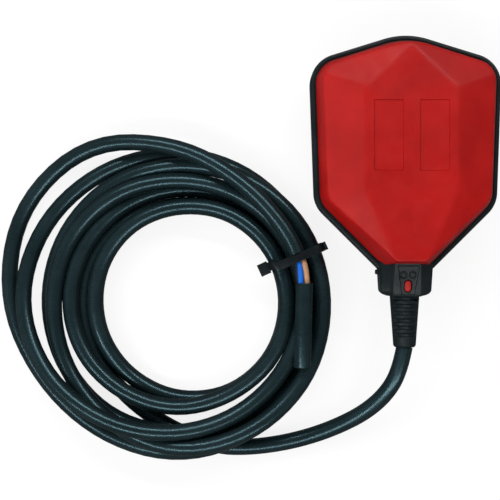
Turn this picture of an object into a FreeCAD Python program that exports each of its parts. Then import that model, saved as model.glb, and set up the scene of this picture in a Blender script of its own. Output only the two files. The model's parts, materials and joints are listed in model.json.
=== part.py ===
import FreeCAD, Part
import math
import os
from FreeCAD import Vector

# Cable float switch lying flat: X across the float, Y from the cable end to the apex, Z up. Millimetres.
# The origin is under the middle of the float, on the surface that it lies on.

# Driving sizes of the float
float_width = 81.5
float_length = 133.3
float_thickness = 41.5
collar_length = 8.7
boot_length = 22.0
hip_width = 78.2
corner_radius = 13.0
apex_radius = 32.0
neck_radius = 12.0
neck_corner_x = 3.6
shoulder_setback = 20.7
taper_length = 35.85
wall = 2.2

# Seal band moulded round the seam
band_depth = 2.4
band_height = 9.0
band_rounding = 0.9
band_groove = 0.4

# Facets of each half shell
wall_lean = 3.4
facet_half_width = 18.9
facet_top_setback = 24.2
facet_tip_setback = 8.1
facet_low_drop = 0.95
facet_foot_half_width = 7.5
facet_foot_reach = 10.0
facet_rounding = 1.5
side_drop = 7.9
top_slope = 0.432
foot_slope = 0.388
valley_half_width = 15.6
valley_depth = 0.55
label_inner = 3.3
label_outer = 15.6
label_top_setback = 29.7
label_length = 29.3
label_depth = 0.4
tongue_width = 0.8
tongue_height = 1.2
seam_clearance = 0.1

# Collar and its window
collar_root_width = 23.0
collar_root_height = 23.0
collar_end_width = 21.6
collar_end_height = 14.8
collar_flat = 11.0
collar_flank = 10.0
collar_bevel = 4.2
panel_width = 7.5
panel_length = 10.6
panel_depth = 0.3
ring_diameter = 2.6
ring_spacing = 4.4
window_width = 3.4
window_length = 5.1
window_setback = 4.5

# Cable, boot and the parts that hold the cable
cable_diameter = 7.2
cable_bore_clearance = 0.15
neck_tube_diameter = 12.0
boot_root_diameter = 12.6
boot_end_diameter = 9.6
boot_spigot = 1.5
groove_count = 6
groove_width = 1.1
groove_depth = 0.6
grommet_length = 6.0
grommet_diameter = 9.6
clamp_width = 17.2
clamp_length = 4.0
clamp_rise = 5.6
clamp_share = 0.265
root_overhang = 2.0
clamp_screw_spacing = 12.4
clamp_screw_diameter = 2.2
clamp_screw_head = 4.2
clamp_screw_length = 10.0

# Ball, its cage and the switch that it works
ball_diameter = 15.0
ball_clearance = 0.4
ball_travel = 14.0
ball_x = 10.0
ball_setback = 32.65
cage_wall = 2.0
cage_foot = 7.8
lid_thickness = 2.0
rib_thickness = 2.0
seat_clearance = 0.3
switch_length = 27.8
switch_height = 15.9
switch_thickness = 10.3
switch_x = -2.2
switch_share = 0.72664
cover_thickness = 2.0
peg_diameter = 2.9
peg_clearance = 0.1
peg_spacing = 22.2
lever_overreach = 2.5
lever_width = 4.0
lever_thickness = 0.5
lever_gap = 0.3
lever_pin_diameter = 1.2
lever_eye_diameter = 2.4
hinge_offset = 1.6
hinge_inset = 2.4
plunger_diameter = 2.0
plunger_clearance = 0.2
plunger_offset = 14.5
plunger_length = 4.0
terminal_width = 4.8
terminal_thickness = 0.8
terminal_length = 8.9
terminal_root = 2.0
terminal_pitch = 9.0

# Cores of the cable
core_diameter = 2.5
conductor_diameter = 1.4
core_circle = 1.47
core_lift = 0.1
core_bend = 5.0
core_shift = 1.0
core_spread = 2.2
core_stack = 1.8

# Coil of the cable as it lies beside the float
coil_x = -98.5
coil_setback = 19.55
coil_outline = [(0, 66.9), (45, 66.7), (90, 71.4), (115, 80.4), (140, 83.4), (165, 81.4),
                (190, 75.6), (230, 70.7), (270, 71.7), (315, 69.8)]
coil_hole_x = -92.3
coil_hole_setback = 19.15
coil_hole_radius = 38.7
coil_layers = 2
tail_start_angle = 24.5
tail_end_angle = 80.0
tail_inner_radius = 52.4
tail_outer_radius = 60.0

# Route of the lead between the boot and the coil: side, distance past the boot, and drop
lead_steps = [
    (0.0, 0.0, 0.0),
    (-1.9, 10.35, 0.75),
    (-7.2, 20.65, 3.75),
    (-15.7, 29.25, 8.35),
    (-26.9, 35.95, 12.45),
    (-39.6, 41.25, 15.35),
    (-53.5, 44.85, 16.85),
    (-67.8, 46.55, 17.15),
    (-82.0, 46.15, 17.15),
]

# Cable tie, and the stripped end that it holds down
tie_x = -45.9
tie_setback = 38.05
tie_angle = 29.3
tie_width = 3.6
tie_thickness = 1.1
tie_headroom = 0.9
tie_inner_width = 23.4
tie_corner = 3.0
tie_head_width = 5.4
tie_head_height = 5.0
tie_head_length = 4.4
tie_tail_length = 3.0
tie_tail_stand = 1.0
slug_length = 36.6
slug_diameter = 7.6
slug_x = -43.6
slug_setback = 27.45

# Places that follow from the sizes above
mid_z = float_thickness / 2
apex_y = float_length / 2
boot_end_y = -apex_y
collar_end_y = boot_end_y + boot_length
neck_y = collar_end_y + collar_length
shoulder_y = apex_y - shoulder_setback
hip_y = neck_y + taper_length
cable_radius = cable_diameter / 2
neck_bore = cable_radius + cable_bore_clearance
neck_tube_radius = neck_tube_diameter / 2
collar_root_y = neck_y + band_depth + wall + 2.0
neck_tube_end_y = collar_end_y + boot_spigot
clamp_y = neck_y + clamp_share * taper_length + clamp_length / 2
cable_root_y = clamp_y + clamp_length / 2 + root_overhang
switch_lower_y = neck_y + switch_share * taper_length
tail_room = switch_lower_y - cable_root_y
switch_y = switch_lower_y + switch_length / 2
ball_y = apex_y - ball_setback
coil_y = boot_end_y + coil_setback
coil_hole_y = boot_end_y + coil_hole_setback
tie_y = boot_end_y + tie_setback
slug_top_y = boot_end_y + slug_setback
lead_drop = (mid_z - cable_radius) / lead_steps[-1][2]
lead_route = [(x, boot_end_y - y, mid_z - drop * lead_drop) for x, y, drop in lead_steps]
far = 200.0

outline_circles = [
    (0.0, apex_y - apex_radius, apex_radius),
    (-(float_width / 2 - corner_radius), shoulder_y, corner_radius),
    (-(hip_width / 2 - corner_radius), hip_y, corner_radius),
    (-neck_corner_x, neck_y + neck_radius, neck_radius),
    (neck_corner_x, neck_y + neck_radius, neck_radius),
    (hip_width / 2 - corner_radius, hip_y, corner_radius),
    (float_width / 2 - corner_radius, shoulder_y, corner_radius),
]


def block(x0, x1, y0, y1, z0, z1):
    """A box between two corners."""
    return Part.makeBox(x1 - x0, y1 - y0, z1 - z0, Vector(x0, y0, z0))


def rod(diameter, start, end):
    """A round bar from one point to another."""
    axis = Vector(*end) - Vector(*start)
    return Part.makeCylinder(diameter / 2, axis.Length, Vector(*start), axis)


def rounded_hull(circles, inset, z):
    """The closed outline round a ring of circles, each made smaller by the inset."""
    count = len(circles)
    normals = []
    for i in range(count):
        xa, ya, ra = circles[i]
        xb, yb, rb = circles[(i + 1) % count]
        heading = math.atan2(yb - ya, xb - xa)
        spread = math.acos((ra - rb) / math.hypot(xb - xa, yb - ya))
        normals.append(heading - spread)

    def rim(index, angle):
        x, y, r = circles[index]
        return Vector(x + (r - inset) * math.cos(angle), y + (r - inset) * math.sin(angle), z)

    edges = []
    for i in range(count):
        arriving = normals[i - 1]
        leaving = normals[i]
        turn = (leaving - arriving) % (2 * math.pi)
        edges.append(Part.Arc(rim(i, arriving), rim(i, arriving + turn / 2), rim(i, leaving)).toShape())
        edges.append(Part.LineSegment(rim(i, leaving), rim((i + 1) % count, leaving)).toShape())
    return Part.Wire(edges)


def outline_slab(inset, z0, z1):
    """The float's outline, moved inwards and given a height."""
    return Part.Face(rounded_hull(outline_circles, inset, z0)).extrude(Vector(0, 0, z1 - z0))


def space_above(point, normal):
    """Everything on the outer side of a sloping plane."""
    cutter = Part.makeBox(2 * far, 2 * far, far, Vector(-far, -far, 0))
    cutter.Placement = FreeCAD.Placement(Vector(*point), FreeCAD.Rotation(Vector(0, 0, 1), Vector(*normal)))
    return cutter


def facet_cutters(offset):
    """The six sloping facets round the flat top, each moved inwards by the offset."""
    top = float_thickness - offset
    side_slope = side_drop / (float_width / 2 - band_depth - facet_half_width)
    foot_y = neck_y + facet_foot_reach
    foot_run = (facet_half_width - facet_foot_half_width, hip_y - facet_low_drop - foot_y)
    crown_run = (facet_half_width, facet_top_setback - facet_tip_setback)
    cutters = []
    for side in (-1, 1):
        side_normal = (side * side_slope, 0, 1)
        cutters.append(space_above((side * facet_half_width, 0, top), side_normal))
        length = math.hypot(*crown_run)
        crown_normal = (side * top_slope * crown_run[1] / length, top_slope * crown_run[0] / length, 1)
        cutters.append(space_above((0, apex_y - facet_tip_setback, top), crown_normal))
        length = math.hypot(*foot_run)
        foot_normal = (side * foot_slope * foot_run[1] / length, -foot_slope * foot_run[0] / length, 1)
        cutters.append(space_above((side * facet_foot_half_width, foot_y, top), foot_normal))
    return cutters


def half_body(offset):
    """The upper half of the float as a solid, or its cavity when moved inwards by a wall."""
    base_z = mid_z + band_height / 2
    draft = math.atan2(wall_lean, float_thickness - base_z)
    inset = band_depth + offset
    slant = offset * (1 / math.cos(draft) - 1)
    low = rounded_hull(outline_circles, inset + slant, base_z)
    high = rounded_hull(outline_circles, inset + slant + wall_lean, float_thickness)
    body = Part.makeLoft([low, high], True, True)
    body = body.fuse(outline_slab(inset + slant, mid_z, base_z)).removeSplitter()
    cutters = facet_cutters(offset)
    if offset:
        cutters.append(block(-far, far, -far, far, float_thickness - offset - valley_depth, far))
    return body.cut(cutters)


def outer_half():
    """The upper half of the float as it is seen, with the edges of its facets rounded."""
    body = half_body(0)
    wall_foot = mid_z + band_height / 2
    edges = [e for e in body.Edges if e.BoundBox.ZMin > wall_foot + 0.2]
    return body.makeFillet(facet_rounding, edges)


def valley(sink):
    """The space above the shallow valley that runs along the flat top."""
    edge = float_thickness - sink
    corners = [(-valley_half_width, edge), (0, edge - valley_depth), (valley_half_width, edge),
               (valley_half_width, edge + 5), (-valley_half_width, edge + 5)]
    points = [Vector(x, -far, z) for x, z in corners]
    return Part.Face(Part.makePolygon(points + points[:1])).extrude(Vector(0, 2 * far, 0))


def turned_over(shape):
    """The same shape, mirrored to the float's lower half."""
    return shape.mirror(Vector(0, 0, mid_z), Vector(0, 0, 1))


def seam_ring(clearance, height):
    """The ring that locates one half shell in the other."""
    inset = band_depth + (wall - tongue_width) / 2
    ring = outline_slab(inset - clearance, mid_z - height, mid_z)
    return ring.cut(outline_slab(inset + tongue_width + clearance, mid_z - height, mid_z))


def neck_tube():
    """The round neck that both half shells carry round the cable."""
    start = (0, neck_y + band_depth, mid_z)
    return rod(neck_tube_diameter, start, (0, neck_tube_end_y, mid_z))


def neck_hole():
    """The cable's way through the neck, with the wider seat of the grommet."""
    way = rod(2 * neck_bore, (0, neck_y + band_depth + wall + 3, mid_z), (0, neck_tube_end_y - 1, mid_z))
    seat = rod(grommet_diameter, (0, neck_tube_end_y + grommet_length, mid_z), (0, neck_tube_end_y - 1, mid_z))
    return way.fuse(seat)


def window_prism(z0, z1, inset=0.0):
    """An oval prism for the window in the collar and the lug that shows through it."""
    radius = window_width / 2 - inset
    reach = window_length / 2 - window_width / 2
    y = collar_end_y + window_setback
    oval = Part.makeCylinder(radius, z1 - z0, Vector(0, y - reach, z0))
    oval = oval.fuse(Part.makeCylinder(radius, z1 - z0, Vector(0, y + reach, z0)))
    return oval.fuse(block(-radius, radius, y - reach, y + reach, z0, z1)).removeSplitter()


def collar_top(y):
    """Height of the collar's flat top above the middle, where it tapers to the boot."""
    share = (collar_root_y - y) / (collar_root_y - collar_end_y)
    return collar_root_height / 2 + share * (collar_end_height - collar_root_height) / 2


def cable_cradle():
    """The rib of the lower shell that the cable lies in, with its two screw holes."""
    y0 = clamp_y - clamp_length / 2
    y1 = clamp_y + clamp_length / 2
    rib = block(-clamp_width / 2, clamp_width / 2, y0, y1, 0, mid_z)
    rib = rib.common(turned_over(half_body(wall / 2)))
    rib = rib.cut(rod(cable_diameter, (0, y0 - 1, mid_z), (0, y1 + 1, mid_z)))
    depth = clamp_screw_length - clamp_rise
    for x in (-clamp_screw_spacing / 2, clamp_screw_spacing / 2):
        rib = rib.cut(rod(clamp_screw_diameter, (x, clamp_y, mid_z - depth), (x, clamp_y, mid_z + 1)))
    return rib


def upper_shell():
    """The red half shell on top, with label recesses and the lug in the collar's window."""
    shell = outer_half().cut(half_body(wall))
    shell = shell.fuse(neck_tube().common(block(-far, far, -far, far, mid_z, far)))
    shell = shell.cut(half_body(wall)).cut(valley(0))
    label_y = apex_y - label_top_setback
    for x0, x1 in ((-label_outer, -label_inner), (label_inner, label_outer)):
        pocket = block(x0, x1, label_y - label_length, label_y, mid_z, far)
        shell = shell.cut(pocket.common(valley(label_depth)))
    lug_y = collar_end_y + window_setback - window_length / 2
    shell = shell.fuse(window_prism(mid_z + neck_bore, mid_z + collar_top(lug_y) - 0.4))
    shell = shell.fuse(seam_ring(0, tongue_height))
    return shell.cut(neck_hole()).removeSplitter()


def lower_shell():
    """The red half shell underneath, grooved for the tongue and carrying the cradle."""
    shell = turned_over(outer_half().cut(half_body(wall)))
    shell = shell.fuse(neck_tube().common(block(-far, far, -far, far, 0, mid_z)))
    shell = shell.cut(turned_over(half_body(wall))).cut(turned_over(valley(0)))
    shell = shell.fuse(cable_cradle())
    shell = shell.cut(seam_ring(seam_clearance, tongue_height + seam_clearance))
    return shell.cut(neck_hole()).removeSplitter()


def seal_collar():
    """The black seal: a band round the seam that runs into the collar on the neck."""
    half = band_height / 2
    band = outline_slab(0, mid_z - half, mid_z + half)
    rims = [e for e in band.Edges if abs(e.BoundBox.ZMax - e.BoundBox.ZMin) < 0.01]
    band = band.makeFillet(band_rounding, rims)
    band = band.cut(outline_slab(band_depth, mid_z - half, mid_z + half))
    middle = band_rounding + band_groove
    groove = outline_slab(middle, 0, far).cut(outline_slab(middle + band_groove, 0, far))
    band = band.cut(groove.cut(outline_slab(0, mid_z - half + band_groove, mid_z + half - band_groove)))

    def section(y, width, height, flat, flank):
        corners = [(flat / 2, height / 2), (width / 2, flank / 2), (width / 2, -flank / 2), (flat / 2, -height / 2)]
        corners += [(-x, z) for x, z in reversed(corners)]
        points = [Vector(x, y, mid_z + z) for x, z in corners]
        return Part.makePolygon(points + points[:1])

    root = section(collar_root_y, collar_root_width, collar_root_height, collar_flat, collar_flank)
    end = section(collar_end_y, collar_end_width, collar_end_height, collar_flat + 1, collar_flank * 0.7)
    collar = Part.makeLoft([root, end], True, True)
    for side in (-1, 1):
        corner = (side * collar_end_width / 2, collar_end_y + collar_bevel / 2, mid_z)
        bevel = Part.makeBox(far, far, far, Vector(0, -far / 2, -far / 2))
        turn = FreeCAD.Rotation(Vector(1, 0, 0), Vector(side, -1.6, 0))
        bevel.Placement = FreeCAD.Placement(Vector(*corner) - Vector(side * 1.4, 0, 0), turn)
        collar = collar.cut(bevel)
    panel_y = collar_end_y + 0.9
    panel = block(-panel_width / 2, panel_width / 2, panel_y, panel_y + panel_length, mid_z, far)
    tilt = math.degrees(math.atan2(collar_root_height - collar_end_height, 2 * (collar_root_y - collar_end_y)))
    lid = block(-far, far, -far, far, 0, far)
    lid.Placement = FreeCAD.Placement(Vector(0, collar_end_y, mid_z + collar_end_height / 2 - panel_depth),
                                      FreeCAD.Rotation(Vector(1, 0, 0), tilt))
    collar = collar.cut(panel.common(lid))
    ring_y = panel_y + panel_length - 2.2
    for x in (-ring_spacing / 2, ring_spacing / 2):
        height = mid_z + collar_top(ring_y) - panel_depth - 0.3
        ring = Part.makeCylinder(ring_diameter / 2, far, Vector(x, ring_y, height))
        collar = collar.cut(ring.cut(Part.makeCylinder(ring_diameter / 2 - 0.5, far, Vector(x, ring_y, height))))
    collar = collar.cut(outline_slab(band_depth, mid_z - half, mid_z + half))
    seal = band.fuse(collar)
    seal = seal.cut([outer_half(), turned_over(outer_half()), neck_tube()])
    seal = seal.cut(rod(neck_tube_diameter, (0, neck_tube_end_y, mid_z), (0, collar_end_y - 1, mid_z)))
    return seal.cut(window_prism(mid_z, far)).removeSplitter()


def cable_boot():
    """The tapered, grooved sleeve that keeps the cable from kinking at the collar."""
    root = boot_root_diameter / 2
    tip = boot_end_diameter / 2
    grooved = boot_length * 0.72
    pitch = grooved / groove_count
    profile = [(neck_tube_radius, neck_tube_end_y), (neck_tube_radius, collar_end_y), (root, collar_end_y)]
    for i in range(groove_count):
        middle = collar_end_y - (i + 0.5) * pitch
        for y in (middle + groove_width / 2, middle - groove_width / 2):
            radius = root + (tip - root) * (collar_end_y - y) / grooved
            pair = [(radius, y), (radius - groove_depth, y)]
            profile += pair if y > middle else pair[::-1]
    profile += [(tip, collar_end_y - grooved), (tip, boot_end_y + 0.8), (tip - 0.8, boot_end_y)]
    profile += [(cable_radius, boot_end_y), (cable_radius, neck_tube_end_y)]
    points = [Vector(x, y, mid_z) for x, y in profile]
    face = Part.Face(Part.makePolygon(points + points[:1]))
    return face.revolve(Vector(0, 0, mid_z), Vector(0, 1, 0), 360)


def cable_grommet():
    """The rubber ring that seals the cable in the neck."""
    ring = rod(grommet_diameter, (0, neck_tube_end_y, mid_z), (0, neck_tube_end_y + grommet_length, mid_z))
    return ring.cut(rod(cable_diameter, (0, neck_tube_end_y - 1, mid_z), (0, 0, mid_z)))


def cable_root():
    """The end of the cable that the boot, the neck and the clamp hold."""
    return rod(cable_diameter, (0, boot_end_y, mid_z), (0, cable_root_y, mid_z))


def cord_clamp():
    """The saddle that presses the cable into its cradle."""
    y0 = clamp_y - clamp_length / 2
    y1 = clamp_y + clamp_length / 2
    saddle = block(-clamp_width / 2, clamp_width / 2, y0, y1, mid_z + seat_clearance, mid_z + clamp_rise)
    edges = [e for e in saddle.Edges if e.BoundBox.ZMin > mid_z + 1 and e.BoundBox.YLength > 1]
    saddle = saddle.makeFillet(1.2, edges)
    saddle = saddle.cut(rod(cable_diameter, (0, y0 - 1, mid_z), (0, y1 + 1, mid_z)))
    for x in (-clamp_screw_spacing / 2, clamp_screw_spacing / 2):
        saddle = saddle.cut(rod(clamp_screw_diameter, (x, clamp_y, mid_z), (x, clamp_y, far)))
    return saddle


def clamp_screws():
    """The two screws of the clamp."""
    screws = []
    for x in (-clamp_screw_spacing / 2, clamp_screw_spacing / 2):
        top = mid_z + clamp_rise
        shank = rod(clamp_screw_diameter, (x, clamp_y, top - clamp_screw_length), (x, clamp_y, top))
        head = rod(clamp_screw_head, (x, clamp_y, top), (x, clamp_y, top + 1.6))
        slot = block(x - clamp_screw_head, x + clamp_screw_head, clamp_y - 0.3, clamp_y + 0.3, top + 0.9, far)
        screws.append(shank.fuse(head).cut(slot))
    return Part.makeCompound(screws)


ball_radius = ball_diameter / 2
channel = ball_radius + ball_clearance
channel_x0 = ball_x - channel
channel_x1 = ball_x + channel
channel_y0 = ball_y - ball_travel - channel
channel_y1 = ball_y + channel
cage_half = channel + cage_wall
hinge_x = switch_x + hinge_offset
hinge_y = switch_lower_y + hinge_inset


def lever_angle(ball_place):
    """The lean of the lever, in radians, with the ball at a place along its channel."""
    height = ball_x - hinge_x
    reach = ball_place - hinge_y
    bare = ball_radius + lever_thickness / 2 + lever_gap
    return math.asin(height / math.hypot(height, reach)) - math.asin(bare / math.hypot(height, reach))


rest_lean = lever_angle(ball_y)
free_lean = lever_angle(ball_y - ball_travel)
plunger_y = hinge_y + plunger_offset
plunger_travel = plunger_offset * (math.tan(free_lean) - math.tan(rest_lean))


def ball_cage():
    """The moulded cage: the ball's channel, the plate that carries the switch, and the ribs."""
    y0 = channel_y0 - cage_wall
    cage = block(channel_x0 - cage_wall, channel_x1 + cage_wall, y0, channel_y1, mid_z - cage_half, mid_z + cage_half)
    cage = cage.cut(block(channel_x0, channel_x1, channel_y0, channel_y1, mid_z - channel, mid_z + channel))
    slot = lever_width / 2 + 0.8
    cage = cage.cut(block(hinge_x, channel_x0 + 1.5, y0 - 1, ball_y + 5, mid_z - slot, mid_z + slot))
    window = ball_radius * 0.6
    cage = cage.cut(block(ball_x - window, ball_x + window, channel_y0 + 4, channel_y1 - 6, 0, float_thickness))
    plate_top = mid_z - switch_thickness / 2
    plate_x0 = switch_x - switch_height
    plate_y0 = switch_lower_y
    plate_y1 = switch_y + switch_length / 2
    plate = block(plate_x0, channel_x0 - cage_wall, plate_y0, plate_y1, plate_top - cage_wall, plate_top)
    foot_y0 = min(y0, plate_y1 - cage_foot)
    foot_y1 = max(plate_y1, y0 + cage_foot)
    foot = block(plate_x0, channel_x1 + cage_wall, foot_y0, foot_y1, plate_top - cage_wall, plate_top)
    foot = foot.cut(block(channel_x0, channel_x1, channel_y0, far, 0, far))
    cage = cage.fuse([plate, foot])
    for x, y in switch_holes():
        cage = cage.fuse(rod(peg_diameter, (x, y, plate_top - 1), (x, y, mid_z + switch_thickness / 2)))
    ceiling = float_thickness - wall - valley_depth - seat_clearance - mid_z
    for y in (channel_y0 + 1, channel_y1 - 5):
        rib = block(channel_x0, channel_x1, y, y + rib_thickness, mid_z - ceiling, mid_z + ceiling)
        cage = cage.fuse(rib.cut(block(-far, far, -far, far, mid_z - cage_half, mid_z + cage_half)))
    return cage.removeSplitter()


def cage_lid():
    """The lid that closes the ball's channel, held by a snap arm on each face."""
    x0 = channel_x0 - cage_wall
    x1 = channel_x1 + cage_wall
    y1 = channel_y1 + lid_thickness
    lid = block(x0, x1, channel_y1, y1, mid_z - cage_half, mid_z + cage_half)
    for side in (-1, 1):
        face = mid_z + side * cage_half
        low = min(face, face + side * 1.4)
        lid = lid.fuse(block(ball_x - 3, ball_x + 3, channel_y1 - 2.5, y1, low, low + 1.4))
    return lid.removeSplitter()


def steel_ball():
    """The ball that rolls when the float tips."""
    return Part.makeSphere(ball_radius, Vector(ball_x, ball_y, mid_z))


def switch_holes():
    """The two mounting holes of the switch."""
    low = (switch_x - switch_height + 3.5, switch_y - peg_spacing / 2)
    high = (switch_x - 4.5, switch_y + peg_spacing / 2)
    return [low, high]


def switch_block(z0, z1):
    """A slice of the switch's housing with its mounting holes."""
    y0 = switch_y - switch_length / 2
    y1 = switch_y + switch_length / 2
    housing = block(switch_x - switch_height, switch_x, y0, y1, z0, z1)
    for x, y in switch_holes():
        housing = housing.cut(rod(peg_diameter + 2 * peg_clearance, (x, y, z0 - 1), (x, y, z1 + 1)))
    return housing


def switch_case():
    """The housing of the switch with the ears of the lever's hinge."""
    top = mid_z + switch_thickness / 2 - cover_thickness
    case = switch_block(mid_z - switch_thickness / 2, top)
    bore = plunger_diameter + 2 * plunger_clearance
    back = switch_x - plunger_length
    case = case.cut(rod(bore, (back, plunger_y, mid_z), (switch_x + 1, plunger_y, mid_z)))
    for i in (-1, 0, 1):
        case = case.cut(terminal(i))
    inner = lever_width / 2 + 0.3
    ear = lever_eye_diameter / 2 + 0.4
    for z0 in (mid_z - inner - 1.0, mid_z + inner):
        tab = block(switch_x, hinge_x, hinge_y - ear, hinge_y + ear, z0, z0 + 1.0)
        tab = tab.fuse(Part.makeCylinder(ear, 1.0, Vector(hinge_x, hinge_y, z0)))
        case = case.fuse(tab)
    return case.cut(lever_pin()).removeSplitter()


def switch_cover():
    """The cover that closes the switch's housing."""
    return switch_block(mid_z + switch_thickness / 2 - cover_thickness, mid_z + switch_thickness / 2)


def lever_pin():
    """The pin that the lever turns on."""
    reach = lever_width / 2 + 1.3
    return rod(lever_pin_diameter, (hinge_x, hinge_y, mid_z - reach), (hinge_x, hinge_y, mid_z + reach))


def switch_lever():
    """The lever that the ball presses down, with a rolled eye on the pin."""
    half = lever_width / 2
    eye = rod(lever_eye_diameter, (hinge_x, hinge_y, mid_z - half), (hinge_x, hinge_y, mid_z + half))
    strip = block(hinge_x - lever_thickness / 2, hinge_x + lever_thickness / 2, hinge_y,
                  ball_y + lever_overreach, mid_z - half, mid_z + half)
    lever = eye.fuse(strip)
    lever.rotate(Vector(hinge_x, hinge_y, mid_z), Vector(0, 0, 1), -math.degrees(rest_lean))
    hole = lever_pin_diameter + 0.2
    return lever.cut(rod(hole, (hinge_x, hinge_y, mid_z - far), (hinge_x, hinge_y, mid_z + far))).removeSplitter()


def switch_plunger():
    """The button under the lever, with a rounded tip."""
    tip = hinge_x + plunger_offset * math.tan(rest_lean) - lever_thickness / 2 - 0.2
    start = switch_x - plunger_length + 0.1
    pin = rod(plunger_diameter, (start, plunger_y, mid_z), (tip - plunger_diameter / 4, plunger_y, mid_z))
    nose = Part.makeCone(plunger_diameter / 2, plunger_diameter / 4, plunger_diameter / 4,
                         Vector(tip - plunger_diameter / 4, plunger_y, mid_z), Vector(1, 0, 0))
    return pin.fuse(nose).removeSplitter()


def terminal(index):
    """One soldering tag out of the back of the switch."""
    y = switch_y + index * terminal_pitch
    back = switch_x - switch_height
    half = terminal_width / 2
    z0 = mid_z - terminal_thickness / 2
    tag = block(back - terminal_length, back + terminal_root, y - half, y + half, z0, z0 + terminal_thickness)
    return tag.cut(rod(1.6, (back - terminal_length + 2, y - half + 1.1, 0), (back - terminal_length + 2, y - half + 1.1, far)))


def bent_rod(diameter, route, bend=None):
    """A round bar along straight runs joined by tangent arcs, of one radius or as large as they fit."""
    points = [Vector(*p) for p in route]
    edges = []
    start = points[0]
    found = []
    for i in range(1, len(points) - 1):
        before = points[i] - points[i - 1]
        after = points[i + 1] - points[i]
        shorter = min(before.Length, after.Length)
        reach = 0.45 * shorter
        turn = before.getAngle(after)
        if bend:
            reach = bend * math.tan(turn / 2)
        before.normalize()
        after.normalize()
        enter = points[i] - before * reach
        leave = points[i] + after * reach
        radius = reach / math.tan(turn / 2)
        inward = after - before
        inward.normalize()
        middle = points[i] + inward * (radius / math.cos(turn / 2) - radius)
        edges.append(Part.LineSegment(start, enter).toShape())
        edges.append(Part.Arc(enter, middle, leave).toShape())
        start = leave
        found.append(round(radius, 1))
    edges.append(Part.LineSegment(start, points[-1]).toShape())
    path = Part.Wire(edges)
    first = points[1] - points[0]
    circle = Part.Wire(Part.makeCircle(diameter / 2, points[0], first))
    tube = path.makePipeShell([circle], True, False)
    expected = math.pi * diameter ** 2 / 4 * path.Length
    print("tube", round(path.Length, 1), "mm, volume share", round(tube.Volume / expected, 4), "radii", found)
    return tube


def core_places():
    """The three cores round the middle of the cable: name, side and height."""
    places = {}
    for name, angle in (("brown", 270), ("blue", 30), ("black", 150)):
        places[name] = (core_circle * math.cos(math.radians(angle)), core_circle * math.sin(math.radians(angle)))
    return places


def core_tail(name):
    """One core from the end of the jacket to its tag on the switch."""
    x, z = core_places()[name]
    lift = terminal_thickness / 2 + core_diameter / 2 + core_lift
    back = switch_x - switch_height
    start = (x, cable_root_y, mid_z + z)
    edge = switch_lower_y
    bend = 0.246 * tail_room
    if name == "blue":
        column = back - core_diameter / 2 - 1.0
        turns = [(x, edge - 0.3 * tail_room, mid_z + z), (column, edge - 0.17 * tail_room, mid_z + lift)]
        stop = (column, switch_y - terminal_pitch + 1, mid_z + lift)
    elif name == "brown":
        column = back - 1.5 * core_diameter - 1.0
        turns = [(x, edge - 0.49 * tail_room, mid_z + z), (column, edge - 0.085 * tail_room, mid_z - lift)]
        stop = (column, switch_y + 1, mid_z - lift)
    else:
        column = back - 2.5 * core_diameter - 1.4
        turns = [(x, edge - 0.76 * tail_room, mid_z + z), (back - 1.4, edge - 0.51 * tail_room, mid_z + lift),
                 (column, edge + 0.13 * tail_room, mid_z + lift)]
        stop = (column, switch_y + terminal_pitch + 1, mid_z + lift)
    return bent_rod(core_diameter, [start] + turns + [stop], bend)


def coil_point(angle, radius, z):
    """A point of the coil by its angle and its distance from the coil's middle."""
    return Vector(coil_x + radius * math.cos(math.radians(angle)), coil_y + radius * math.sin(math.radians(angle)), z)


def cable_coil():
    """The outer shape of the coiled cable: a ring two layers high, and the end that lies on it."""
    height = coil_layers * cable_diameter
    rim = [coil_point(angle, radius, 0) for angle, radius in coil_outline]
    rim.append(rim[0])
    edges = [Part.Arc(rim[i], rim[i + 1], rim[i + 2]).toShape() for i in range(0, len(rim) - 2, 2)]
    ring = Part.Face(Part.Wire(edges)).extrude(Vector(0, 0, height))
    ring = ring.cut(Part.makeCylinder(coil_hole_radius, height, Vector(coil_hole_x, coil_hole_y, 0)))
    outer = Part.makeCylinder(tail_outer_radius, cable_diameter, Vector(coil_x, coil_y, height), Vector(0, 0, 1),
                              tail_end_angle - tail_start_angle)
    inner = Part.makeCylinder(tail_inner_radius, cable_diameter, Vector(coil_x, coil_y, height), Vector(0, 0, 1))
    tail = outer.cut(inner)
    tail.rotate(Vector(coil_x, coil_y, 0), Vector(0, 0, 1), tail_start_angle)
    return ring.fuse(tail).cut(cable_tie()).removeSplitter()


def cable_lead():
    """The free stretch of the cable from the boot down to the coil."""
    leaving = Vector(*lead_route[1]) - Vector(*lead_route[0])
    leaving.normalize()
    start = Vector(*lead_route[0]) - leaving * cable_radius
    lead = bent_rod(cable_diameter, [tuple(start)] + lead_route[1:])
    return lead.cut([cable_coil(), block(-far, far, boot_end_y, far, 0, far)])


def cable_tie():
    """The tie round the bundle: its strap, its head on the inner side and its cut end."""
    height = coil_layers * cable_diameter + core_diameter + core_stack + tie_headroom - tie_thickness

    def hoop(grow):
        half = tie_inner_width / 2 + grow
        bar = block(-half, half, -tie_width / 2, tie_width / 2, tie_thickness - grow, tie_thickness + height + grow)
        uprights = [e for e in bar.Edges if abs(e.BoundBox.YLength - tie_width) < 0.01]
        return bar.makeFillet(tie_corner + grow, uprights)

    tie = hoop(tie_thickness).cut(hoop(0))
    outside = tie_inner_width / 2 + tie_thickness
    head = block(-outside - tie_head_length, -outside + 0.2, -tie_head_width / 2, tie_head_width / 2,
                 height / 2, height / 2 + tie_head_height)
    tail = block(outside - 0.2, outside + tie_tail_stand, -tie_width / 2, tie_width / 2, height - 2, height - 2 + tie_tail_length)
    tie = tie.fuse([head, tail]).removeSplitter()
    tie.rotate(Vector(0, 0, 0), Vector(0, 0, 1), tie_angle)
    tie.translate(Vector(tie_x, tie_y, 0))
    return tie


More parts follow.
